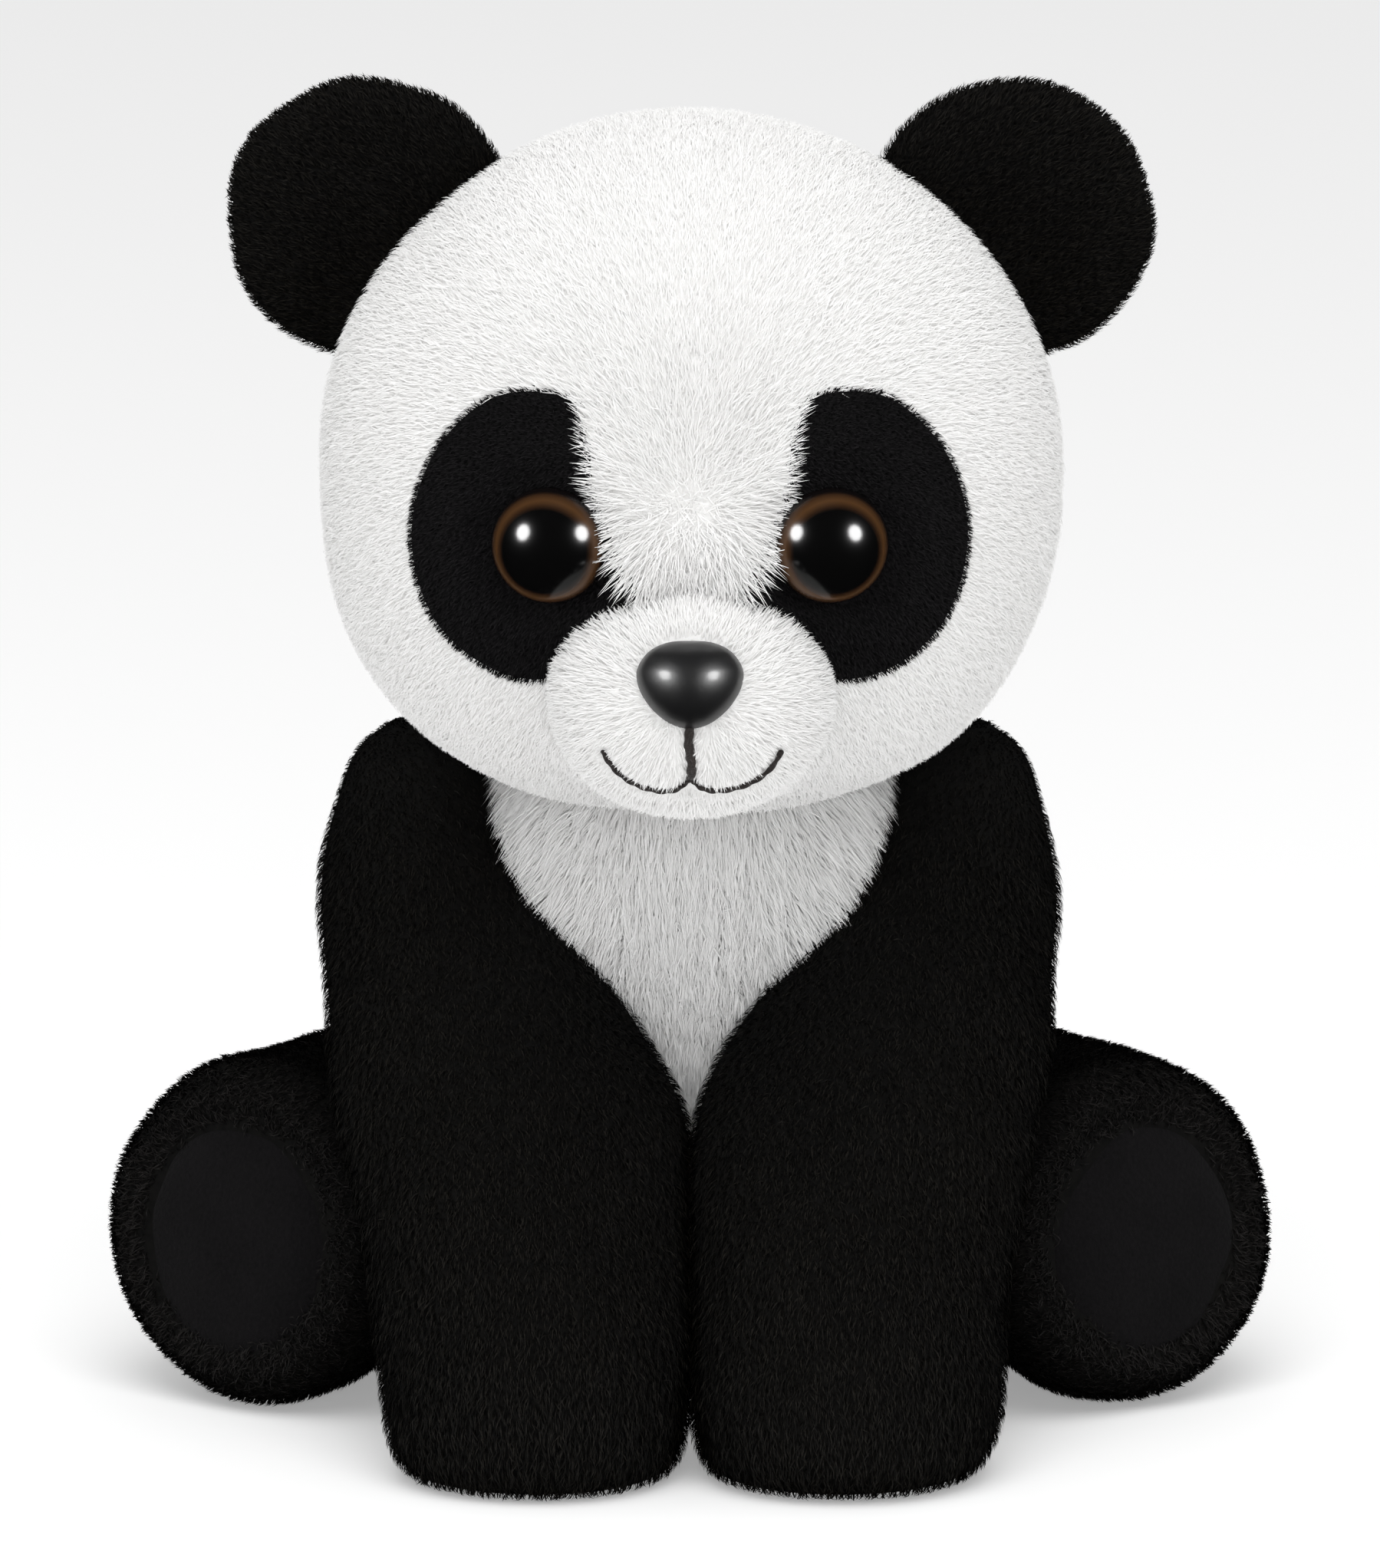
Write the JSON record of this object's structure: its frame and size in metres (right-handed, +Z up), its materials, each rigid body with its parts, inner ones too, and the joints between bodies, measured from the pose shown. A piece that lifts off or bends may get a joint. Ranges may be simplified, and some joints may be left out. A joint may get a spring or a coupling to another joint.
{
  "type": "plush panda",
  "caption": "Seated plush panda: big round head with raised muzzle, safety eyes and moulded nose, round ears, straight front arms on the floor and splayed legs with flat soles.",
  "frame": {"origin": "on the floor, on the flat seat panel, in the toy's plane of symmetry", "axes": "+Z up, the toy faces -Y and its own left side is +X"},
  "size_m": [0.1244, 0.1081, 0.1478],
  "materials": {
    "white_plush": "soft pile, matte",
    "black_plush": "soft pile, matte",
    "eye_patch_plush": "short pile, matte",
    "sole_velour": "very short pile, matte",
    "polyester_filling": "loose fibre",
    "pouch_cloth": "plain weave",
    "pellet_plastic": "matte",
    "white_thread": "twisted thread",
    "dark_thread": "twisted thread",
    "nose_plastic": "satin",
    "washer_plastic": "matte",
    "eye_brown": "gloss",
    "eye_black": "gloss",
    "eye_clear": "clear gloss"
  },
  "bodies": {
    "torso": {"chest_and_belly_panel": "white_plush", "back_yoke_left": "black_plush", "back_yoke_right": "black_plush", "lower_back_left": "white_plush", "lower_back_right": "white_plush", "seat_panel": "white_plush", "torso_stuffing": "polyester_filling", "bean_pouch": "pouch_cloth", "pellets": "pellet_plastic", "closing_stitches": "white_thread"},
    "neck": {"neck_plug": "polyester_filling"},
    "head": {"forehead_gusset": "white_plush", "cheek_left": "white_plush", "cheek_right": "white_plush", "eye_patch_left": "eye_patch_plush", "eye_patch_right": "eye_patch_plush", "muzzle_panel": "white_plush", "chin_panel": "white_plush", "head_back_left": "white_plush", "head_back_right": "white_plush", "head_stuffing": "polyester_filling", "muzzle_stuffing": "polyester_filling", "nose": "nose_plastic", "nose_washer": "washer_plastic", "mouth_embroidery": "dark_thread", "eye_disc_left": "eye_brown", "eye_disc_right": "eye_brown", "eye_pupil_left": "eye_black", "eye_pupil_right": "eye_black", "eye_dome_left": "eye_clear", "eye_dome_right": "eye_clear", "eye_washer_left": "washer_plastic", "eye_washer_right": "washer_plastic"},
    "tail": {"tail_skin": "white_plush", "tail_stuffing": "polyester_filling"},
    "ear_left": {"ear_front_left": "black_plush", "ear_back_left": "black_plush"},
    "arm_left": {"arm_inner_left": "black_plush", "arm_outer_left": "black_plush", "arm_stuffing_left": "polyester_filling"},
    "leg_left": {"leg_lower_left": "black_plush", "leg_upper_left": "black_plush", "leg_stuffing_left": "polyester_filling", "foot_sole_left": "sole_velour"},
    "ear_right": {"ear_front_right": "black_plush", "ear_back_right": "black_plush"},
    "arm_right": {"arm_inner_right": "black_plush", "arm_outer_right": "black_plush", "arm_stuffing_right": "polyester_filling"},
    "leg_right": {"leg_lower_right": "black_plush", "leg_upper_right": "black_plush", "leg_stuffing_right": "polyester_filling", "foot_sole_right": "sole_velour"}
  },
  "joints": [
    {"name": "head_nod", "type": "hinge", "parent": "torso", "child": "neck", "pos_m": [0, -0.002, 0.068], "axis": [1, 0, 0], "range_deg": [-6, 12], "stiffness_Nm_per_rad": 0.6},
    {"name": "head_turn", "type": "hinge", "parent": "neck", "child": "head", "pos_m": [0, -0.002, 0.068], "axis": [0, 0, 1], "range_deg": [-10, 10], "stiffness_Nm_per_rad": 0.5},
    {"name": "ear_bend_left", "type": "hinge", "parent": "head", "child": "ear_left", "pos_m": [0.03222, -0.005, 0.13042], "axis": [-0.5993, 0, 0.8006], "range_deg": [-20, 20], "stiffness_Nm_per_rad": 0.02},
    {"name": "arm_lift_left", "type": "hinge", "parent": "torso", "child": "arm_left", "pos_m": [0.0265, 0.003, 0.059], "axis": [-1, 0, 0], "range_deg": [0, 35], "stiffness_Nm_per_rad": 0.3},
    {"name": "leg_splay_left", "type": "hinge", "parent": "torso", "child": "leg_left", "pos_m": [0.0302, 0.021, 0.016], "axis": [0, 0, 1], "range_deg": [0, 20], "stiffness_Nm_per_rad": 0.3},
    {"name": "ear_bend_right", "type": "hinge", "parent": "head", "child": "ear_right", "pos_m": [-0.03222, -0.005, 0.13042], "axis": [0.5993, 0, 0.8006], "range_deg": [-20, 20], "stiffness_Nm_per_rad": 0.02},
    {"name": "arm_lift_right", "type": "hinge", "parent": "torso", "child": "arm_right", "pos_m": [-0.0265, 0.003, 0.059], "axis": [-1, 0, 0], "range_deg": [0, 35], "stiffness_Nm_per_rad": 0.3},
    {"name": "leg_splay_right", "type": "hinge", "parent": "torso", "child": "leg_right", "pos_m": [-0.0302, 0.021, 0.016], "axis": [0, 0, -1], "range_deg": [0, 20], "stiffness_Nm_per_rad": 0.3},
    {"name": "tail_bend", "type": "hinge", "parent": "torso", "child": "tail", "pos_m": [0, 0.0373, 0.017], "axis": [1, 0, 0], "range_deg": [-14, 14], "stiffness_Nm_per_rad": 0.01}
  ]
}
